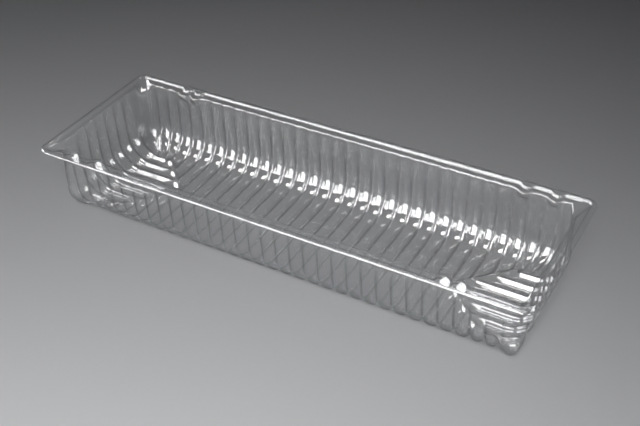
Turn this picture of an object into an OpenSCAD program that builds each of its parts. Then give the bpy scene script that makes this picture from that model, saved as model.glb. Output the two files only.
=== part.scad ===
// Clear one-piece transport tray: a thin thermoformed shell with a stepped rim,
// ribbed walls and a ribbed floor whose two rib directions meet on mitre lines.
// Origin: centre of the footprint, on the surface that the tray stands on.

/* [Overall] */
// Length over the rim, along X
tray_length = 400; // [330:1:460]
// Width over the rim, along Y
tray_width = 132; // [120:1:170]
// Height from the rib crests underneath to the top of the rim
tray_height = 60; // [45:0.5:80]
// Thickness of the formed sheet
sheet = 0.8; // [0.5:0.1:1.2]

/* [Rim] */
// Radius of the rim's outer corners
rim_corner_radius = 9; // [7:0.5:14]
// Height that the rim's outer edge is turned down
edge_drop = 1.5; // [0.5:0.1:3]
// Width of the turned-down outer edge
edge_run = 1.4; // [0.5:0.1:2]
// Distance from the outer edge to the inner side of the raised lip
lip_width = 3.8; // [2.5:0.1:4.5]
// Step down from the raised lip to the flat land
lip_step = 1.5; // [0.5:0.1:3]
// Width of the sloping face of that step
step_run = 1; // [0.5:0.1:1.5]
// Distance from the outer edge to the top of a long wall
rim_long = 11; // [10:0.5:16]
// Distance from the outer edge to the top of an end wall
rim_end = 10.5; // [9.5:0.5:16]

/* [Walls] */
// Inward lean of a long wall from top to floor radius
lean_long = 1.5; // [1:0.5:6]
// Inward lean of an end wall from top to floor radius
lean_end = 1.5; // [1:0.5:6]
// Height of the radius between walls and floor
floor_radius = 20; // [12:0.5:24]
// Run of that radius into the floor below a long wall
radius_long = 18; // [12:0.5:19]
// Run of that radius into the floor below an end wall
radius_end = 18.5; // [12:0.5:24]
// Cut corner of the opening, measured along X
corner_x = 7; // [5:0.5:10]
// Cut corner of the opening, measured along Y
corner_y = 11; // [8:0.5:16]
// Drop of the sloping triangular facet at each cut corner
corner_drop = 4; // [1:0.5:8]
// Distance that the radius to the floor stands out at each corner
corner_bulge = 3.5; // [0:0.5:5]

/* [Ribs] */
// Distance between neighbouring ribs, on walls and floor alike
rib_pitch = 11.4; // [9:0.1:14]
// Depth of a rib on the floor
rib_depth = 2.6; // [1.5:0.1:4]
// Share of that depth left at the top of a wall
rib_top_share = 0.25; // [0:0.05:0.6]
// Length over which a rib runs out at the mitre lines
rib_fade = 4; // [2:0.5:7]

/* [Stacking lugs] */
// Half width of a lug at the top of a long wall
lug_radius = 4.8; // [3.5:0.1:5.5]
// Distance that a lug stands into the opening
lug_depth = 4; // [2:0.5:5]
// Height of a lug below the land
lug_height = 8; // [5:0.5:15]

/* [Hidden] */

steps = 6;                                  // columns of points across one rib
step = rib_pitch / steps;
cross_phase = 0.5;                          // the ribs across the tray have a crest at its middle
open_x = tray_length / 2 - rim_end;         // half length of the opening
open_y = tray_width / 2 - rim_long;         // half width of the opening
ribs_x = floor((open_x - corner_x) / rib_pitch);    // ribs on half a long wall
floor_x = open_x - lean_end - radius_end;   // half length of the flat floor
floor_y = open_y - lean_long - radius_long; // half width of the flat floor
ribs_y = floor(floor_y / rib_pitch);        // ribs on half an end wall
mitre_margin = 2.5;                         // rib pitches from a mitre's end to the last rib gap
mitre_end = (ribs_x - mitre_margin) * rib_pitch;    // X where a mitre line stops near the corner
mitre_start = mitre_end - ribs_y * rib_pitch;   // X where two mitre lines meet
land_z = tray_height - lip_step;
ridge_z = sheet + rib_depth;                // floor level between the ribs
lug_ribs = [-13, -12, 13, 15];              // rib gaps that carry the lugs

// Columns of a quarter, from the middle of a long wall to the middle of an end wall
long_cols = ribs_x * steps;
corner_cols = 3;
end_cols = ribs_y * steps;
quarter = long_cols + corner_cols + 1 + end_cols;
ring_size = 4 * quarter;
mitre_col = mitre_end / step;
first_mitre_col = mitre_start / step;
web_cols = long_cols + corner_cols + 1 - mitre_col;
corner_fade = 0.2;                          // share of rib depth lost per column past a mitre's end

// Depth of a rib across its pitch: sharp between the ribs, flat along the crest
function rib_wave(u) = min(1, abs(sin(180 * u)) / sin(60));

function mix2(a, b, t) = a + (b - a) * t;

// Places of the corner columns along the cut corner, 0 at the long wall, 1 at the end wall
corner_places = [0.2, 0.8, 1];
function corner_place(u) = corner_places[u - long_cols - 1];

// One column of a quarter: top, wall foot and floor edge in plan, outward direction,
// rib depth share on the wall, rib depth share at the floor edge, drop of the top,
// share of the corner's bulge
function long_column(u) = [
    [u * step, open_y],
    [u * step, open_y - lean_long],
    u <= mitre_col ? [u * step, floor_y] : web_point(u - mitre_col),
    [0, 1],
    rib_wave(u / steps + cross_phase),
    u < mitre_col ? edge_share(floor_y - max(0, u * step - mitre_start))
        : max(0, edge_share(floor_y - ribs_y * rib_pitch) - corner_fade * (u - mitre_col)),
    0,
    0
];
function corner_column(u) = let (t = corner_place(u)) [
    mix2([ribs_x * rib_pitch, open_y], [open_x, open_y - corner_y], t),
    mix2([ribs_x * rib_pitch, open_y - lean_long], [open_x - lean_end, open_y - corner_y], t),
    web_point(u - mitre_col),
    [sin(90 * t), cos(90 * t)],
    0,
    0,
    t < 1 ? corner_drop : 0,
    1
];
function end_column(u) = let (y = (quarter - u) * step) [
    [open_x, y],
    [open_x - lean_end, y],
    [floor_x, y],
    [1, 0],
    rib_wave((quarter - u) / steps),
    1,
    0,
    0
];
function quarter_column(u) =
    u <= long_cols ? long_column(u) :
    u <= long_cols + corner_cols ? corner_column(u) :
    end_column(u);

// Rounded corner of the flat floor, from the mitre's end to the end wall
function web_point(k) = let (a = 90 * k / web_cols) [
    mitre_end + (floor_x - mitre_end) * sin(a),
    ribs_y * rib_pitch + (floor_y - ribs_y * rib_pitch) * cos(a)
];

// Rib depth share at a distance from the mitre line
function edge_share(d) = min(1, d / rib_fade);

// Number of a column on the full ring, clockwise from the middle of the far wall
function ring_index(q, u) =
    [u, 2 * quarter - u, 2 * quarter + u, 4 * quarter - u][q] % ring_size;
function quarter_of(g) = floor(g / quarter);
function local_index(g) = let (v = g - quarter_of(g) * quarter)
    quarter_of(g) % 2 == 0 ? v : quarter - v;
function side_x(q) = q < 2 ? 1 : -1;
function side_y(q) = q == 0 || q == 3 ? 1 : -1;

// Distance that the lugs push a long wall's top inwards at x on side s
function lug_push(x, s) = max([for (n = lug_ribs)
    let (d = abs(s * x - n * rib_pitch) / lug_radius)
    d < 1 ? lug_depth * sqrt(1 - d * d) : 0]);

columns = [for (g = [0 : ring_size - 1])
    let (q = quarter_of(g), c = quarter_column(local_index(g)), s = [side_x(q), side_y(q)])
    [for (k = [0 : 3]) [c[k].x * s.x, c[k].y * s.y], c[4], c[5], c[6], c[7], s.y]];

// Points of the shell; face 0 is the inside and top, face 1 the outside and underside
function shell_point(plan, z, dir, out) = [plan.x + dir.x * out, plan.y + dir.y * out, z + dir.z * out];
function column_top(c, face) =
    let (push = abs(c[3].y) == 1 ? lug_push(c[0].x, c[8]) : 0)
    let (out = rib_depth * rib_top_share * c[4] - push + face * sheet)
    shell_point(c[0], land_z - c[6] - face * sheet, [c[3].x, c[3].y, 0], out);
function column_neck(c, face) =
    let (t = lug_height / (land_z - ridge_z - floor_radius))
    let (out = rib_depth * mix2(rib_top_share, 1, t) * c[4] + face * sheet)
    shell_point(mix2(c[0], c[1], t), land_z - lug_height, [c[3].x, c[3].y, 0], out);
function column_radius(c, face, a) =
    let (out = rib_depth * c[4] * (a < 90 ? 1 : c[5]) + corner_bulge * c[7] * sin(2 * a) + face * sheet)
    shell_point(mix2(c[2], c[1], cos(a)), ridge_z + floor_radius * (1 - sin(a)),
        [c[3].x * cos(a), c[3].y * cos(a), -sin(a)], out);
function floor_point(x, y, share, face) = [x, y, ridge_z - rib_depth * share - face * sheet];

// Rim outline at a distance in from the outer edge, clockwise from the far left corner
corner_steps = 4;
lip_bay = 4 * steps;                        // columns between points along a straight lip
function is_station(j) = j % lip_bay == 0 || min([for (n = lug_ribs) abs(j - n * steps)]) <= 3;
stations = [for (j = [-long_cols + 1 : long_cols - 1]) if (is_station(j)) j];
function rim_corner(x, y, r, start) = [for (k = [0 : corner_steps])
    let (a = start - 90 * k / corner_steps) [x + r * cos(a), y + r * sin(a)]];
function rim_outline(inset, lugs) =
    let (r = rim_corner_radius - inset)
    let (x = tray_length / 2 - rim_corner_radius, y = tray_width / 2 - rim_corner_radius)
    let (edge = tray_width / 2 - inset)
    concat(
        rim_corner(-x, y, r, 180),
        [for (j = stations) [j * step, edge - (lugs ? lug_push(j * step, 1) : 0)]],
        rim_corner(x, y, r, 90),
        rim_corner(x, -y, r, 0),
        [for (j = stations) [-j * step, -edge + (lugs ? lug_push(-j * step, -1) : 0)]],
        rim_corner(-x, -y, r, 270));
rim_rows = [
    [0, tray_height - edge_drop, false],
    [edge_run, tray_height, false],
    [lip_width, tray_height, true],
    [lip_width + step_run, land_z, true]
];
rim_size = len(rim_outline(0, false));
rim_side = corner_steps + 1 + len(stations);

function mitre_fade(gap) = min(rib_fade, gap / 2);
function mitre_y(k) = k * step;
function mitre_x(k) = mitre_start + abs(k) * step;

// Extra floor points of one end: mitre points, then fade points of both rib directions
function mitre_points(s, face) = concat(
    [for (k = [-end_cols : end_cols]) floor_point(s * mitre_x(k), mitre_y(k), 0, face)],
    [for (k = [-end_cols : end_cols])
        let (d = mitre_fade(floor_x - mitre_x(k)))
        floor_point(s * (mitre_x(k) + d), mitre_y(k), edge_share(d) * rib_wave(k / steps), face)],
    [for (v = [1, -1]) for (k = [0 : end_cols])
        let (d = mitre_fade(floor_y - mitre_y(k)))
        floor_point(s * mitre_x(k), v * (mitre_y(k) + d),
            edge_share(d) * rib_wave((first_mitre_col + k) / steps + cross_phase), face)]);

shell_points = [for (face = [0, 1]) each concat(
    [for (row = rim_rows) for (p = rim_outline(row[0], row[2])) [p.x, p.y, row[1] - face * sheet]],
    [for (c = columns) column_top(c, face)],
    [for (c = columns) column_neck(c, face)],
    [for (a = [0, 45, 90]) for (c = columns) column_radius(c, face, a)],
    mitre_points(1, face),
    mitre_points(-1, face))];

// Numbers of those points
rows = 5;
mitre_size = 2 * (2 * end_cols + 1) + 2 * (end_cols + 1);
first_ring = len(rim_rows) * rim_size;
first_mitre = first_ring + rows * ring_size;
face_size = first_mitre + 2 * mitre_size;
function rim_id(row, k) = row * rim_size + k % rim_size;
function ring_id(row, g) = first_ring + row * ring_size + (g + ring_size) % ring_size;
function mitre_id(e, k) = first_mitre + e * mitre_size + k + end_cols;
function end_fade_id(e, k) = mitre_id(e, k) + 2 * end_cols + 1;
function long_fade_id(e, v, k) = first_mitre + e * mitre_size + 2 * (2 * end_cols + 1)
    + (v > 0 ? 0 : end_cols + 1) + k;
function floor_id(q, u) = ring_id(rows - 1, ring_index(q, u));
function end_id(e, k) = ring_id(rows - 1, e == 0 ? quarter - k : 3 * quarter + k);

function quad(a, b, c, d) = [[a, b, c], [a, c, d]];
function turned(list, flip) = flip ? [for (f = list) [for (k = [len(f) - 1 : -1 : 0]) f[k]]] : list;

rim_faces = [for (row = [0 : len(rim_rows) - 2]) for (k = [0 : rim_size - 1])
    each quad(rim_id(row, k), rim_id(row, k + 1), rim_id(row + 1, k + 1), rim_id(row + 1, k))];
wall_faces = [for (row = [0 : rows - 2]) for (g = [0 : ring_size - 1])
    each quad(ring_id(row, g), ring_id(row, g + 1), ring_id(row + 1, g + 1), ring_id(row + 1, g))];

// Flat land of the rim: triangles from the lip's points to the wall top's along each side,
// and a fan with the sloping facet at each corner
function land_corner(arc, a, flip) = turned([
    [arc[0], arc[1], a[0]], [arc[1], arc[2], a[0]],
    [arc[2], a[1], a[0]], [arc[2], a[2], a[1]], [arc[2], a[3], a[2]],
    [arc[2], arc[3], a[3]], [arc[3], arc[4], a[3]]], flip);
function corner_ids(q) = [for (u = [long_cols : long_cols + corner_cols]) ring_id(0, ring_index(q, u))];
function reversed(list) = [for (k = [len(list) - 1 : -1 : 0]) list[k]];
last_rim = len(rim_rows) - 1;
function rim_arc(start) = [for (k = [0 : corner_steps]) rim_id(last_rim, start + k)];
near_side = rim_side + corner_steps + 1;
far_right_arc = rim_arc(rim_side);
near_right_arc = rim_arc(near_side);
near_left_arc = rim_arc(near_side + rim_side);
far_left_arc = rim_arc(0);

// Lip points number first .. first + len(marks) - 1 face wall columns marks[0] .. marks[last],
// counted clockwise from column number start
function land_side(first, marks, start) =
    let (last = len(marks) - 1)
    let (mid = [for (k = [0 : last - 1]) floor((marks[k] + marks[k + 1]) / 2)])
    concat(
        [for (k = [0 : last - 1])
            [rim_id(last_rim, first + k), rim_id(last_rim, first + k + 1), ring_id(0, start + mid[k])]],
        [for (k = [0 : last])
            for (j = [k == 0 ? marks[0] : mid[k - 1] : 1 : (k == last ? marks[last] : mid[k]) - 1])
                [rim_id(last_rim, first + k), ring_id(0, start + j + 1), ring_id(0, start + j)]]);
long_marks = concat([-long_cols], stations, [long_cols]);
end_marks = [-end_cols - 1, end_cols + 1];
land_faces = concat(
    land_corner(far_right_arc, corner_ids(0), false),
    land_corner(reversed(near_right_arc), corner_ids(1), true),
    land_corner(near_left_arc, corner_ids(2), false),
    land_corner(reversed(far_left_arc), corner_ids(3), true),
    land_side(corner_steps, long_marks, 0),
    land_side(near_side + corner_steps, long_marks, 2 * quarter),
    land_side(near_side - 1, end_marks, quarter),
    land_side(near_side + near_side - 1, end_marks, 3 * quarter));

// Floor between the mitres: each rib runs straight across
last_cross = first_mitre_col - 1;
cross_faces = [for (j = [-last_cross : last_cross - 1])
    each quad(ring_id(rows - 1, j), ring_id(rows - 1, j + 1),
        ring_id(rows - 1, 2 * quarter - j - 1), ring_id(rows - 1, 2 * quarter - j))];

// Floor of one end, e 0 right and 1 left
function end_faces(e) =
    let (far = e == 0 ? 0 : 3, near = e == 0 ? 1 : 2)
    turned(concat(
        [[floor_id(far, last_cross), floor_id(far, last_cross + 1), long_fade_id(e, 1, 0)],
         [floor_id(far, last_cross), long_fade_id(e, 1, 0), mitre_id(e, 0)],
         [floor_id(far, last_cross), mitre_id(e, 0), floor_id(near, last_cross)],
         [floor_id(near, last_cross), mitre_id(e, 0), long_fade_id(e, -1, 0)],
         [floor_id(near, last_cross), long_fade_id(e, -1, 0), floor_id(near, last_cross + 1)]],
        [for (v = [1, -1]) each turned([for (k = [0 : end_cols - 1]) each concat(
            quad(floor_id(v > 0 ? far : near, first_mitre_col + k),
                floor_id(v > 0 ? far : near, first_mitre_col + k + 1),
                long_fade_id(e, v, k + 1), long_fade_id(e, v, k)),
            quad(long_fade_id(e, v, k), long_fade_id(e, v, k + 1),
                mitre_id(e, v * (k + 1)), mitre_id(e, v * k)))], v < 0)],
        [for (k = [-end_cols : end_cols - 1]) each concat(
            quad(end_id(e, k + 1), end_id(e, k), end_fade_id(e, k), end_fade_id(e, k + 1)),
            quad(end_fade_id(e, k + 1), end_fade_id(e, k), mitre_id(e, k), mitre_id(e, k + 1)))],
        [for (v = [1, -1]) each turned(web_faces(e, v, v > 0 ? far : near), v < 0)]
    ), e == 1);
function web_faces(e, v, q) =
    let (tip = mitre_id(e, v * end_cols), side = long_fade_id(e, v, end_cols))
    let (last = mitre_col + web_cols, back = end_fade_id(e, v * end_cols))
    concat(
        [[side, floor_id(q, mitre_col), floor_id(q, mitre_col + 1)],
         [tip, side, floor_id(q, mitre_col + 1)]],
        [for (u = [mitre_col + 1 : last - 2]) [tip, floor_id(q, u), floor_id(q, u + 1)]],
        [[tip, floor_id(q, last - 1), back],
         [back, floor_id(q, last - 1), floor_id(q, last)]]);

inside_faces = concat(rim_faces, wall_faces, land_faces, cross_faces, end_faces(0), end_faces(1));
outside_faces = turned([for (f = inside_faces) [for (k = f) k + face_size]], true);
edge_faces = [for (k = [0 : rim_size - 1])
    each quad(rim_id(0, k), face_size + rim_id(0, k), face_size + rim_id(0, k + 1), rim_id(0, k + 1))];

module tray() {
    color("gainsboro", 0.5)
        polyhedron(points = shell_points, faces = concat(inside_faces, outside_faces, edge_faces));
}

tray();
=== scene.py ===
from math import cos, radians, sin

import bmesh
import bpy
import numpy as np
from mathutils import Matrix, Vector


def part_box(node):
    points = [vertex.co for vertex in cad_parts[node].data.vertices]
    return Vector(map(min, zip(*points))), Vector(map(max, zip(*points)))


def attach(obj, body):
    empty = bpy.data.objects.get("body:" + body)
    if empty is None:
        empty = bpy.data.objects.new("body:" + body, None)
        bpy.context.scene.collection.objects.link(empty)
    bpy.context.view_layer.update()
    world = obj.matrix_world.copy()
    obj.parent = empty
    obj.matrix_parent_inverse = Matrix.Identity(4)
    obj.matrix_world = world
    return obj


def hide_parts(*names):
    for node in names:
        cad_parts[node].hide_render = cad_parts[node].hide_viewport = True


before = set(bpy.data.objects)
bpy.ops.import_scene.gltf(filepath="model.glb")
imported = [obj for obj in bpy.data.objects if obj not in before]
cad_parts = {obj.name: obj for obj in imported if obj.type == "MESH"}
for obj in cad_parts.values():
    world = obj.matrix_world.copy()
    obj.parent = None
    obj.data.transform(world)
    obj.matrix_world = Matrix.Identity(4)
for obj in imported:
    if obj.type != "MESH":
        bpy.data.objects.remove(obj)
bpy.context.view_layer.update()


# Shader maths: a wire is one output socket, and sums of wires become Math nodes
class Wire:
    def __init__(self, tree, socket=None):
        self.tree = tree
        self.socket = socket

    def node(self, kind, settings=None, sockets=None, out=0):
        made = self.tree.nodes.new(kind)
        for name, value in (settings or {}).items():
            setattr(made, name, value)
        for name, value in (sockets or {}).items():
            if isinstance(value, Wire):
                self.tree.links.new(value.socket, made.inputs[name])
            else:
                made.inputs[name].default_value = value
        return Wire(self.tree, made.outputs[out] if len(made.outputs) else None)

    def maths(self, operation, first, second):
        return self.node("ShaderNodeMath", {"operation": operation}, {0: first, 1: second})

    def __add__(self, other):
        return self.maths("ADD", self, other)

    def __radd__(self, other):
        return self.maths("ADD", other, self)

    def __sub__(self, other):
        return self.maths("SUBTRACT", self, other)

    def __rsub__(self, other):
        return self.maths("SUBTRACT", other, self)

    def __mul__(self, other):
        return self.maths("MULTIPLY", self, other)

    def __rmul__(self, other):
        return self.maths("MULTIPLY", other, self)

    def __pow__(self, other):
        return self.maths("POWER", self, other)


def newMaterial(name):
    material = bpy.data.materials.new(name)
    material.use_nodes = True
    material.node_tree.nodes.clear()
    return material, Wire(material.node_tree)


# The tray, in metres. The overall size comes from the tray part in model.glb.
tray = {
    "sheet": 0.0005,          # thickness of the formed sheet
    "rimRadius": 0.009,       # outer corners of the rim
    "edgeRadius": 0.0015,     # turned-down outer edge
    "lipWidth": 0.0035,       # outer edge to the start of the step
    "lipStep": 0.0015,        # drop from the lip to the land
    "stepRun": 0.0014,
    "rimLong": 0.011,         # outer edge to the top of a long wall
    "rimEnd": 0.0105,         # outer edge to the top of an end wall
    "topRadius": 0.0012,      # rounding between land and wall
    "leanLong": 0.0015,
    "leanEnd": 0.0015,
    "floorRadius": 0.020,     # height of the round between wall and floor
    "radiusLong": 0.018,
    "radiusEnd": 0.0185,
    "cornerX": 0.007,         # cut corner of the opening
    "cornerY": 0.011,
    "cornerDrop": 0.005,
    "cornerBulge": 0.0035,    # how far the round to the floor stands out at a corner
    "ribPitch": 0.0114,
    "ribDepth": 0.0026,
    "ribTopShare": 0.25,      # share of the depth left at the top of a wall
    "ribSlope": 0.27,         # share of the pitch from the narrow ridge to the flat of the rib
    "ridgeSoftness": 0.045,   # rounding of the ridge between two ribs, in pitches
    "flatSoftness": 0.14,     # rounding where the slope meets the flat
    "ribFade": 0.005,         # rounded end of a rib at a mitre line
    "mitreMargin": 2.5,       # rib pitches from a mitre's end to the last rib
    "lastFade": 0.7,          # rib pitches past a mitre's end in which the depth at the floor's edge runs out
    "roundPower": 4,          # how late in the round to the floor the ribs take that depth
    "lugRadius": 0.0048,
    "lugDepth": 0.004,
    "lugHeight": 0.008,
    "lugRibs": (-13, -12, 13, 15),
    "lugPower": 0.7,          # shape of a lug seen from above, 0.5 being a half circle
    "lugFull": 0.3,           # share of a lug's height at full depth
    # Columns: places in a rib's pitch, then places among a corner's columns, all as shares
    "ribPlaces": (0, 0.035, 0.13, 0.22, 0.27, 0.32, 0.5, 0.68, 0.73, 0.78, 0.87, 0.965),
    "cornerColumns": 25,
    "webPitches": 4 / 6,      # rib pitches that a corner's columns take along the floor's edge
    "rimTurn": (0.25, 0.75),
    "cornerCut": (0, 0.22, 0.74, 1),
    "dropPlaces": (0.22, 0.36, 0.6, 0.74),
    "bendPlaces": (0, 0.1, 0.3, 0.66, 0.86, 1),
    "bendAngles": (0, 20, 57, 57, 78, 90),
    "bulgeFade": 0.3,
    # Rows: angles in degrees and shares of each stretch
    "edgeAngles": (0, 22.5, 45, 67.5, 90),
    "lipRows": ((0.6, 0.2), (0.9, 0.95), (1, 1)),   # share of the lip's width and of the lugs' bend
    "stepRows": (0.2, 0.4, 0.6, 0.8, 1),
    "wallRows": (0.06, 0.13, 0.2, 0.4, 0.7, 1),
    "roundStep": 9,
    "floorRows": ((0.66, 0), (0.33, 0), (0, 1), (0, 0.6), (0, 0.3), (0, 0.1), (0, 0)),
    "sharpAngle": 70,
    "weld": 1e-6,
}


def smoothStep(t):
    # 3 t squared minus 2 t cubed, with t kept from 0 to 1
    t = np.clip(t, 0, 1)
    return t * t * (3 - 2 * t)


def ribWave(u):
    # Bulge of a rib across its pitch u, from 0 on the ridges at whole numbers to 1 on the flat between them:
    # the softened distance from the ridge over the slope's width, joined softly to the flat
    s = tray
    away = np.abs(u - np.round(u))
    climb = (np.sqrt(away ** 2 + s["ridgeSoftness"] ** 2) - s["ridgeSoftness"]) / s["ribSlope"]
    top = 0.5 * (climb + 1 - np.sqrt((climb - 1) ** 2 + s["flatSoftness"] ** 2))
    bottom = 0.5 * (1 - np.sqrt(1 + s["flatSoftness"] ** 2))
    return (top - bottom) / (1 - bottom)


def roundEnd(distance):
    # Depth share near a rib's closed end
    return smoothStep(distance / tray["ribFade"])


def lugPush(x, side):
    # Inward push of the stacking lugs at x: a half circle's height, a little softened, around each lug
    away = np.abs((side * x)[:, None] - np.array(tray["lugRibs"]) * tray["ribPitch"]) / tray["lugRadius"]
    return (tray["lugDepth"] * np.clip(1 - away ** 2, 0, 1) ** tray["lugPower"]).max(axis=1)


def quarterColumns(length, width):
    # Columns of one quarter, from the middle of a long wall round the corner to the middle of an end wall
    s = tray
    pitch, places = s["ribPitch"], np.array(s["ribPlaces"])
    openX, openY = length / 2 - s["rimEnd"], width / 2 - s["rimLong"]
    floorX = openX - s["leanEnd"] - s["radiusEnd"]
    floorY = openY - s["leanLong"] - s["radiusLong"]
    ribsX, ribsY = int((openX - s["cornerX"]) / pitch), int(floorY / pitch)
    mitreEnd = (ribsX - s["mitreMargin"]) * pitch
    mitreStart = mitreEnd - ribsY * pitch
    # Columns across the ribs: the ribs across the tray have a flat at its middle, those along it a ridge
    across = (np.arange(ribsX + 1)[:, None] + places).ravel()
    x = (across[(across >= 0.5) & (across <= ribsX + 0.5)] - 0.5) * pitch
    t = np.arange(1, s["cornerColumns"]) / s["cornerColumns"]
    y = np.append((np.arange(ribsY)[:, None] + places).ravel(), ribsY)[::-1] * pitch
    lastX, firstY = x[-1], y[0]
    one, none = np.ones_like, np.zeros_like
    # Rim: centre line and outward direction, straight, then a quarter circle, then straight
    turnStart, turnEnd = s["rimTurn"]
    turn = np.interp(t, s["rimTurn"], [0, np.pi / 2])
    centreX, centreY = length / 2 - s["rimRadius"], width / 2 - s["rimRadius"]
    rimX = np.concatenate([x, np.interp(t, [0, turnStart], [lastX, centreX]), centreX * one(y)])
    rimY = np.concatenate([centreY * one(x), np.interp(t, [turnEnd, 1], [centreY, firstY]), y])
    rimDirX = np.concatenate([none(x), np.sin(turn), one(y)])
    rimDirY = np.concatenate([one(x), np.cos(turn), none(y)])
    # Wall top: cut corner between two straight stretches
    cutX = np.interp(t, s["cornerCut"], [lastX, openX - s["cornerX"], openX, openX])
    cutY = np.interp(t, s["cornerCut"], [openY, openY, openY - s["cornerY"], firstY])
    topX = np.concatenate([x, cutX, openX * one(y)])
    topY = np.concatenate([openY * one(x), cutY, y])
    # Wall foot and floor edge: quarter ellipses round the corner
    footX = np.concatenate([x, lastX + (openX - s["leanEnd"] - lastX) * np.sin(t * np.pi / 2),
                            (openX - s["leanEnd"]) * one(y)])
    footY = np.concatenate([(openY - s["leanLong"]) * one(x),
                            firstY + (openY - s["leanLong"] - firstY) * np.cos(t * np.pi / 2), y])
    webRun = s["webPitches"] * pitch
    webSize = lastX - mitreEnd + webRun
    webAt = np.concatenate([np.clip(x - mitreEnd, 0, None), lastX - mitreEnd + t * webRun,
                            webSize * one(y)]) / webSize * np.pi / 2
    edgeX = np.where(webAt > 0, mitreEnd + (floorX - mitreEnd) * np.sin(webAt),
                     np.concatenate([x, none(t), none(y)]))
    edgeY = ribsY * pitch + (floorY - ribsY * pitch) * np.cos(webAt)
    edgeY[-len(y):] = y
    # Middle line or mitre line, where each floor column ends
    spineX = np.concatenate([np.minimum(x, mitreEnd), mitreEnd * one(t), mitreStart + y])
    spineY = np.concatenate([np.clip(x - mitreStart, 0, ribsY * pitch), ribsY * pitch * one(t), y])
    # Outward direction of the wall, as an angle from the long wall's
    bend = np.interp(t, s["bendPlaces"], np.radians(s["bendAngles"]))
    angle = np.concatenate([none(x), bend, np.pi / 2 * one(y)])
    wave = np.concatenate([ribWave(x / pitch + 0.5), ribWave(0.5 + t / 2), ribWave(y / pitch)])
    reach = np.hypot(edgeX - spineX, edgeY - spineY)
    mitred = np.concatenate([x > mitreStart, one(t) > 0, one(y) > 0])
    edgeShare = np.where(mitred, roundEnd(reach), 1)
    past = np.clip(x - mitreEnd, 0, None)
    edgeShare[:len(x)] *= np.clip(1 - past / (s["lastFade"] * pitch), 0, 1)
    drop = np.concatenate([none(x), np.interp(t, s["dropPlaces"], [0, 1, 1, 0]), none(y)])
    swell = smoothStep(t / s["bulgeFade"]) * smoothStep((1 - t) / s["bulgeFade"])
    bulge = np.concatenate([none(x), swell, none(y)])
    return np.stack([rimX, rimY, rimDirX, rimDirY, topX, topY, footX, footY, edgeX, edgeY, spineX, spineY,
                     np.sin(angle), np.cos(angle), wave, edgeShare, mitred, drop, bulge])


def ringColumns(length, width):
    # The quarter turned and mirrored into the whole ring, clockwise from the middle of the far wall
    quarter = quarterColumns(length, width)
    ring = []
    for signX, signY, back in ((1, 1, False), (1, -1, True), (-1, -1, False), (-1, 1, True)):
        part = quarter.copy()
        part[[0, 2, 4, 6, 8, 10, 12]] *= signX
        part[[1, 3, 5, 7, 9, 11, 13]] *= signY
        part = part[:, ::-1] if back else part
        ring.append(part[:, :-1])
    return np.concatenate(ring, axis=1)


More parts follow.
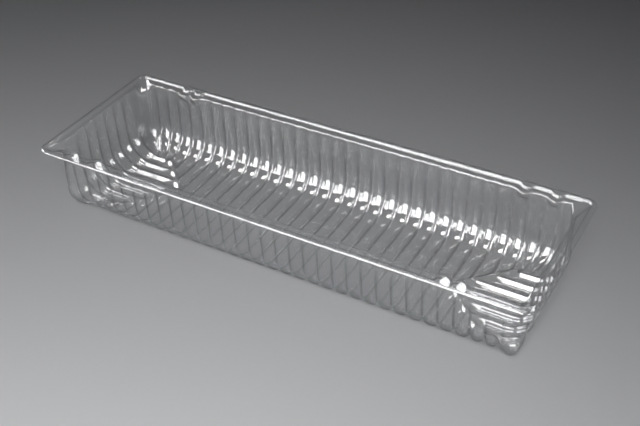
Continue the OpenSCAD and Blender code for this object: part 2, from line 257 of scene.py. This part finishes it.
def traySurface(length, width, height):
    # Rows of points from the rim's outer edge over the lip, land, wall and round to the floor's middle line.
    # Each row gives its points and the direction to the underside.
    s = tray
    (rimX, rimY, rimDirX, rimDirY, topX, topY, footX, footY, edgeX, edgeY, spineX, spineY,
     dirX, dirY, wave, edgeShare, mitred, drop, bulge) = ringColumns(length, width)
    onLong = np.abs(dirY) > 0.999
    lug = np.where(onLong, lugPush(topX, np.sign(topY)), 0)
    landZ = height - s["lipStep"]
    ridgeZ = s["sheet"] + s["ribDepth"]
    footZ = ridgeZ + s["floorRadius"]
    topShare = s["ribTopShare"]
    points, under = [], []

    def addRow(px, py, pz, nx, ny, nz):
        flat = np.ones_like(topX)
        points.append(np.stack([px, py, pz * flat], axis=1))
        under.append(np.stack([nx * flat, ny * flat, nz * flat], axis=1))

    # Rim row at a distance in from the outer edge, with the lugs' bend where it's asked for
    def rimRow(inset, z, inward, down, bend=0.0):
        out = s["rimRadius"] - inset - bend * lug
        addRow(rimX + rimDirX * out, rimY + rimDirY * out, z, -rimDirX * inward, -rimDirY * inward, -down)

    for b in np.radians(s["edgeAngles"]):
        rimRow(s["edgeRadius"] * (1 - cos(b)), height - s["edgeRadius"] * (1 - sin(b)), cos(b), sin(b))
    for across, bend in s["lipRows"]:
        rimRow(across * s["lipWidth"], height, 0, 1, bend)
    for t in s["stepRows"]:
        rimRow(s["lipWidth"] + s["stepRun"] * t, height - s["lipStep"] * smoothStep(t), 0, 1, 1)
    lipX, lipY = points[-1][:, 0], points[-1][:, 1]

    # Wall row: plan point, height, depth share of the ribs, tilt from level (0) to straight down (90 degrees)
    def wallRow(px, py, z, share, tilt, push=0.0):
        out = s["ribDepth"] * share * wave - push
        addRow(px + dirX * out * np.cos(tilt), py + dirY * out * np.cos(tilt),
               np.maximum(z - out * np.sin(tilt), s["sheet"]),
               dirX * np.cos(tilt), dirY * np.cos(tilt), -np.sin(tilt))

    out = s["ribDepth"] * topShare * wave - lug + s["topRadius"]
    outerX, outerY = topX + dirX * out, topY + dirY * out
    sunk = s["cornerDrop"] * drop
    for t in (0.5, 1):
        addRow(lipX + (outerX - lipX) * t, lipY + (outerY - lipY) * t, landZ - sunk * t, 0, 0, -1)
    for b in np.radians(s["edgeAngles"][1:]):
        turned = out - s["topRadius"] * sin(b)
        addRow(topX + dirX * turned, topY + dirY * turned, landZ - sunk - s["topRadius"] * (1 - cos(b)),
               dirX * sin(b), dirY * sin(b), -cos(b))
    wallTop = landZ - sunk - s["topRadius"]
    wallHeight = landZ - footZ
    for t in s["wallRows"]:
        z = wallTop + (footZ - wallTop) * t
        down = (landZ - z) / wallHeight
        share = topShare + (1 - topShare) * smoothStep(down)
        push = lug * (1 - smoothStep(((landZ - z) / s["lugHeight"] - s["lugFull"]) / (1 - s["lugFull"])))
        wallRow(topX + (footX - topX) * down, topY + (footY - topY) * down, z, share, 0.0, push)
    for a in np.radians(np.arange(s["roundStep"], 91, s["roundStep"])):
        share = 1 + (edgeShare - 1) * (a / (np.pi / 2)) ** s["roundPower"]
        wallRow(edgeX + (footX - edgeX) * cos(a), edgeY + (footY - edgeY) * cos(a),
                ridgeZ + s["floorRadius"] * (1 - sin(a)), share, a, -s["cornerBulge"] * bulge * sin(2 * a))
    # Floor rows: along the open length of a rib, then over its rounded end to the middle or mitre line
    reach = np.hypot(edgeX - spineX, edgeY - spineY)
    fade = np.minimum(s["ribFade"], reach / 2)
    for far, near in s["floorRows"]:
        left = fade * near if far == 0 else fade + (reach - fade) * far
        part = left / np.maximum(reach, 1e-9)
        share = np.where(mitred > 0, np.minimum(roundEnd(left), edgeShare), 1)
        addRow(spineX + (edgeX - spineX) * part, spineY + (edgeY - spineY) * part,
               ridgeZ - s["ribDepth"] * share * wave, 0, 0, -1)
    return np.array(points), np.array(under)


def gridMesh(name, inside, outside):
    # Two grids that close round their columns, joined along their first rows. The inside faces up and the
    # outside down.
    rows, columns = inside.shape[:2]
    index = np.arange(rows * columns).reshape(rows, columns)
    beside = np.roll(index, -1, axis=1)
    inner = np.stack([index[:-1], beside[:-1], beside[1:], index[1:]], axis=-1).reshape(-1, 4)
    outer = inner[:, ::-1] + rows * columns
    edge = np.stack([index[0], index[0] + rows * columns, beside[0] + rows * columns, beside[0]], axis=-1)
    corners = np.concatenate([inner, outer, edge]).ravel()
    mesh = bpy.data.meshes.new(name)
    mesh.vertices.add(2 * rows * columns)
    mesh.vertices.foreach_set("co", np.concatenate([inside, outside]).ravel())
    mesh.loops.add(len(corners))
    mesh.loops.foreach_set("vertex_index", corners)
    mesh.polygons.add(len(corners) // 4)
    mesh.polygons.foreach_set("loop_start", np.arange(0, len(corners), 4))
    mesh.update(calc_edges=True)
    shape = bmesh.new()
    shape.from_mesh(mesh)
    # Weld the middle line, the mitre lines and the corner fans
    bmesh.ops.remove_doubles(shape, verts=shape.verts, dist=tray["weld"])
    shape.to_mesh(mesh)
    shape.free()
    mesh.validate()
    mesh.shade_smooth()
    mesh.set_sharp_from_angle(angle=radians(tray["sharpAngle"]))
    return mesh


clearSheet = {
    "reflection": (0.95, 0.955, 0.96, 1),
    "through": (0.988, 0.989, 0.99, 1),     # light left after each face
    "throughSlanted": (0.7, 0.7, 0.71, 1),  # light left where the sheet is seen edge on
    "slantPower": 2.3,
    "milk": (0.9, 0.91, 0.92, 1),           # faint milky haze of the sheet
    "milkShare": 0.06,
    "straightOn": 0.075,                    # share mirrored when seen straight on
    "atEdge": 0.6,                          # share mirrored at a grazing look
    "edgePower": 4.5,
    "roughness": (0.03, 0.09),              # smoothest and haziest places of the sheet
    "metallic": 0.95,
    "hazeScale": 45.0,
    "hazeDetail": 3.0,
    "rippleScale": 160.0,                   # faint unevenness left by the forming
    "rippleDetail": 2.0,
    "rippleHeight": 0.00001,
}


def clearSheetMaterial():
    # Thin clear sheet: it mirrors a little where it's seen straight on and much at its edges. A small share of
    # the rest is milky and the remainder passes, less of it at a slant.
    s = clearSheet
    material, wire = newMaterial("clearSheet")
    place = wire.node("ShaderNodeTexCoord", out="Object")
    haze = wire.node("ShaderNodeTexNoise", {}, {
        "Vector": place, "Scale": s["hazeScale"], "Detail": s["hazeDetail"]})
    ripple = wire.node("ShaderNodeTexNoise", {}, {
        "Vector": place, "Scale": s["rippleScale"], "Detail": s["rippleDetail"]})
    bump = wire.node("ShaderNodeBump", {}, {"Height": ripple, "Distance": s["rippleHeight"], "Strength": 1.0})
    facing = wire.node("ShaderNodeLayerWeight", {}, {"Blend": 0.5, "Normal": bump}, "Facing")
    low, high = s["roughness"]
    mirror = wire.node("ShaderNodeBsdfPrincipled", {}, {
        "Base Color": s["reflection"], "Metallic": s["metallic"],
        "Roughness": low + haze * (high - low), "Normal": bump})
    clear = wire.node("ShaderNodeBsdfTransparent", {}, {"Color": s["through"]})
    deep = wire.node("ShaderNodeBsdfTransparent", {}, {"Color": s["throughSlanted"]})
    tinted = wire.node("ShaderNodeMixShader", {}, {0: facing ** s["slantPower"], 1: clear, 2: deep})
    milk = wire.node("ShaderNodeBsdfDiffuse", {}, {"Color": s["milk"]})
    through = wire.node("ShaderNodeMixShader", {}, {0: s["milkShare"], 1: tinted, 2: milk})
    share = s["straightOn"] + facing ** s["edgePower"] * (s["atEdge"] - s["straightOn"])
    shown = wire.node("ShaderNodeMixShader", {}, {0: share, 1: through, 2: mirror})
    wire.node("ShaderNodeOutputMaterial", {}, {"Surface": shown})
    return material


def makeTray():
    low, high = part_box("tray")
    length, width, height = high[0] - low[0], high[1] - low[1], high[2] - low[2]
    inside, under = traySurface(length, width, height)
    outside = inside + under * tray["sheet"]
    piece = bpy.data.objects.new("clearTray", gridMesh("clearTray", inside, outside))
    bpy.context.collection.objects.link(piece)
    piece.data.materials.append(clearSheetMaterial())
    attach(piece, "root")
    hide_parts("tray")
    print("tray: ", len(piece.data.polygons), "faces")
    return piece


studio = {
    "floorSize": 12.0,
    "floorColour": (0.5, 0.505, 0.515, 1),
    "floorRoughness": (0.55, 0.7),
    "floorShine": 0.05,
    "cloudScale": 3.0,
    "cloudDetail": 4.0,
    "world": (0.03, 0.03, 0.032, 1),
}


def makeFloor():
    # Plain pale floor, slightly uneven in its gloss
    half = studio["floorSize"] / 2
    mesh = bpy.data.meshes.new("studioFloor")
    corners = [(-half, -half, 0), (half, -half, 0), (half, half, 0), (-half, half, 0)]
    mesh.from_pydata(corners, [], [(0, 1, 2, 3)])
    floor = bpy.data.objects.new("studioFloor", mesh)
    bpy.context.collection.objects.link(floor)
    material, wire = newMaterial("paleFloor")
    place = wire.node("ShaderNodeTexCoord", out="Object")
    cloud = wire.node("ShaderNodeTexNoise", {}, {
        "Vector": place, "Scale": studio["cloudScale"], "Detail": studio["cloudDetail"]})
    low, high = studio["floorRoughness"]
    paint = wire.node("ShaderNodeBsdfPrincipled", {}, {
        "Base Color": studio["floorColour"], "Roughness": low + cloud * (high - low),
        "Specular IOR Level": studio["floorShine"]})
    wire.node("ShaderNodeOutputMaterial", {}, {"Surface": paint})
    mesh.materials.append(material)


def makeWorld():
    world = bpy.data.worlds.new("studioWorld")
    world.use_nodes = True
    world.node_tree.nodes["Background"].inputs["Color"].default_value = studio["world"]
    bpy.context.scene.world = world


# Soft boxes: where each stands and what it aims at, its size in metres, its power in watts and its beam in
# degrees. The one that lights the floor isn't mirrored, and the others are only mirrored.
softBoxes = {
    "keyBox": {"at": (0.4, -1.1, 1.0), "aim": (0.1, -0.52, 0), "size": (0.9, 0.6),
               "watts": 4.3, "spread": 56, "onFloor": True},
    "topBox": {"at": (-0.6, -0.5, 1.26), "aim": (-0.6, 0, 0), "size": (1.1, 0.32),
               "watts": 16.0, "spread": 180, "onFloor": False},
    "backBox": {"at": (-0.25, 0.7, 1.35), "aim": (0, 0, 0), "size": (0.6, 0.15),
                "watts": 3.5, "spread": 180, "onFloor": False},
    "frontBox": {"at": (-0.55, -1.3, 0.48), "aim": (-0.55, 0, 0.4), "size": (1.9, 0.95),
                 "watts": 70.0, "spread": 180, "onFloor": False},
    "leftBox": {"at": (-1.35, -0.12, 0.45), "aim": (0, -0.12, 0.2), "size": (0.9, 0.85),
                "watts": 30.0, "spread": 180, "onFloor": False},
    "rightBox": {"at": (1.0, -0.7, 0.3), "aim": (0, 0, 0.2), "size": (0.4, 0.55),
                 "watts": 7.0, "spread": 180, "onFloor": False},
}


def makeLights():
    for name, box in softBoxes.items():
        lamp = bpy.data.lights.new(name, "AREA")
        lamp.shape = "RECTANGLE"
        lamp.size, lamp.size_y = box["size"]
        lamp.energy = box["watts"]
        holder = bpy.data.objects.new(name, lamp)
        bpy.context.collection.objects.link(holder)
        holder.location = box["at"]
        holder.rotation_euler = (Vector(box["aim"]) - Vector(box["at"])).to_track_quat("-Z", "Y").to_euler()
        lamp.spread = radians(box["spread"])
        holder.visible_diffuse = box["onFloor"]
        holder.visible_glossy = not box["onFloor"]


photoView = {
    "place": (0.319403, -0.504997, 0.482277),
    "yaw": -0.546462,       # radians, turned left of the +Y direction
    "pitch": 0.655274,      # radians, looking down
    "roll": -0.0435487,
    "focalPixels": 1002.476,
    "imageWidth": 640,
    "sensor": 36.0,
}


def makeCamera():
    v = photoView
    yaw, pitch, roll = v["yaw"], v["pitch"], v["roll"]
    ahead = Vector((sin(yaw) * cos(pitch), cos(yaw) * cos(pitch), -sin(pitch)))
    right = Vector((cos(yaw), -sin(yaw), 0))
    up = right.cross(ahead)
    turnedRight = cos(roll) * right + sin(roll) * up
    turnedUp = -sin(roll) * right + cos(roll) * up
    lens = bpy.data.cameras.new("photoView")
    lens.sensor_width = v["sensor"]
    lens.lens = v["focalPixels"] * v["sensor"] / v["imageWidth"]
    lens.clip_start = 0.01
    camera = bpy.data.objects.new("photoView", lens)
    bpy.context.collection.objects.link(camera)
    turned = Matrix((turnedRight, turnedUp, -ahead)).transposed().to_4x4()
    camera.matrix_world = Matrix.Translation(v["place"]) @ turned
    bpy.context.scene.camera = camera


makeCamera()
print("camera set")
makeTray()
makeFloor()
makeWorld()
makeLights()
print("floor and lights set")
bpy.context.scene.view_settings.view_transform = "Standard"
bpy.context.scene.cycles.caustics_reflective = False
bpy.context.scene.cycles.transparent_max_bounces = 24
